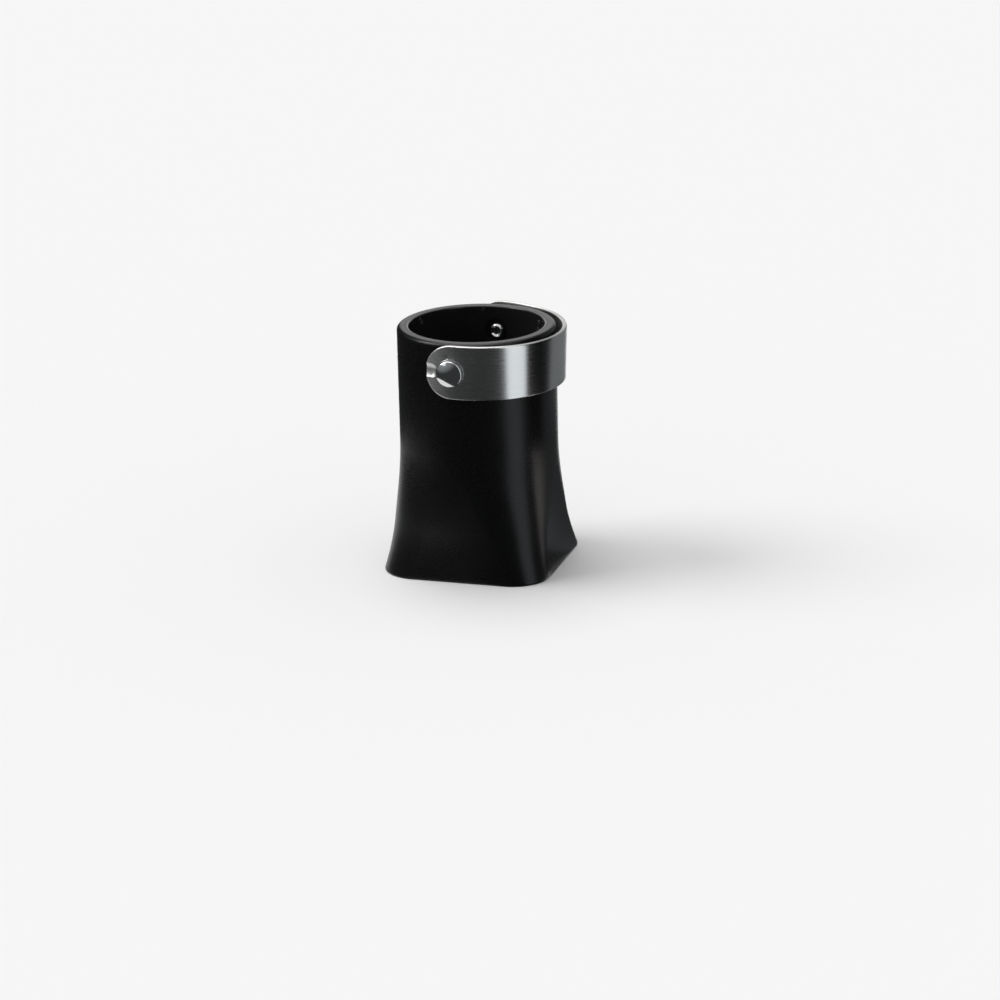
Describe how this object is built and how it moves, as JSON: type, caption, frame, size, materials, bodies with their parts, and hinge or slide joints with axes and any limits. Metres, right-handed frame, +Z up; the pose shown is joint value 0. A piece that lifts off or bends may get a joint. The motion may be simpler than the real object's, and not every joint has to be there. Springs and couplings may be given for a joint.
{
  "type": "champagne opener",
  "caption": "Hollow hand grip, round at the rim and square at the foot, that goes down over a champagne cork, with a swinging steel band that catches the cork.",
  "frame": {"origin": "centre of the square base, on the axis of the bore, in the plane that the opener stands on", "axes": "+Z up along the bore towards the rim; Y along the line of the two pivots; the catch band lies round the +X side at rest"},
  "size_m": [0.0506, 0.0572, 0.0706],
  "materials": {
    "soft_touch_black": "soft-touch coat with a fine satin grain",
    "gloss_black": "glossy moulded",
    "gripper_rubber": "matte elastomer",
    "brushed_stainless": "fine brushed along its length",
    "polished_steel": "mirror polished",
    "washer_steel": "satin",
    "washer_nylon": "moulded nylon",
    "screw_steel": "bright machined"
  },
  "bodies": {
    "opener": {"grip_shell": "soft_touch_black", "inner_barrel": "gloss_black", "cork_gripper": "gripper_rubber", "pivot_nut_front": "polished_steel", "pivot_nut_rear": "polished_steel", "outer_washer_front": "washer_steel", "outer_washer_rear": "washer_steel", "friction_washer_front": "washer_nylon", "friction_washer_rear": "washer_nylon", "pivot_screw_front": "screw_steel", "pivot_screw_rear": "screw_steel"},
    "catch": {"catch_band": "brushed_stainless"}
  },
  "joints": [
    {"name": "catch_swing", "type": "hinge", "parent": "opener", "child": "catch", "pos_m": [0, 0, 0.0629], "axis": [0, -1, 0], "range_deg": [-5, 189]}
  ]
}
